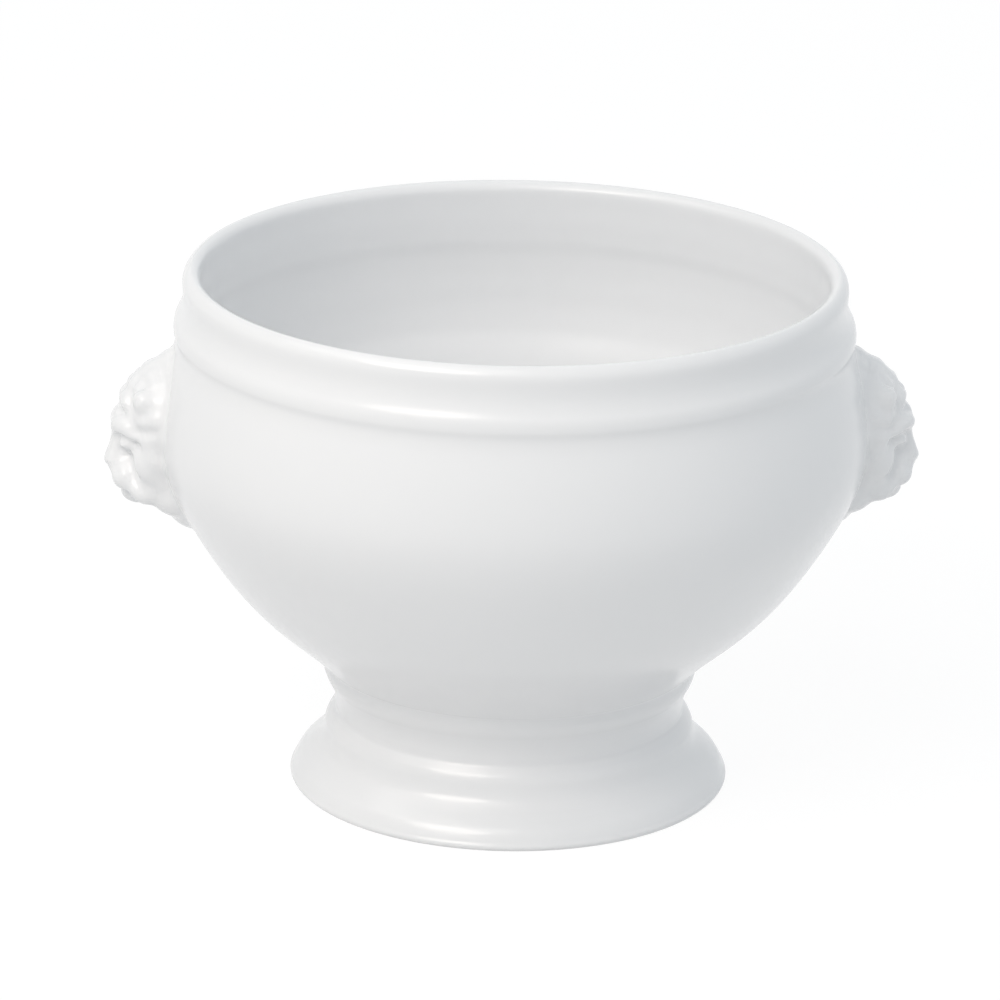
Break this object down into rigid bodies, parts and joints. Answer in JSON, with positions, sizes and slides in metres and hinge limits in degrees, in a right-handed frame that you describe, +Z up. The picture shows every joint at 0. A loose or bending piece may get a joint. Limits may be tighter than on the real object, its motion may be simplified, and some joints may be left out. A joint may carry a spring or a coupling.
{
  "type": "footed soup bowl",
  "caption": "Footed soup bowl in white glazed porcelain, with a beaded rim, a full belly, a flared hollow foot and a lion head on each side for a grip.",
  "frame": {"origin": "centre of the standing ring, on the surface that the bowl stands on", "axes": "+Z up through the bowl's axis, +X through the right-hand lion head"},
  "size_m": [0.1494, 0.1288, 0.097],
  "materials": {
    "glazed_porcelain": "glossy white glaze",
    "fired_slip": "fired white slip under the glaze"
  },
  "bodies": {
    "root": {"bowl_body": "glazed_porcelain", "pedestal_foot": "glazed_porcelain", "lion_head_left": "glazed_porcelain", "lion_head_right": "glazed_porcelain", "foot_slip_joint": "fired_slip", "lion_head_slip_left": "fired_slip", "lion_head_slip_right": "fired_slip"}
  },
  "joints": []
}
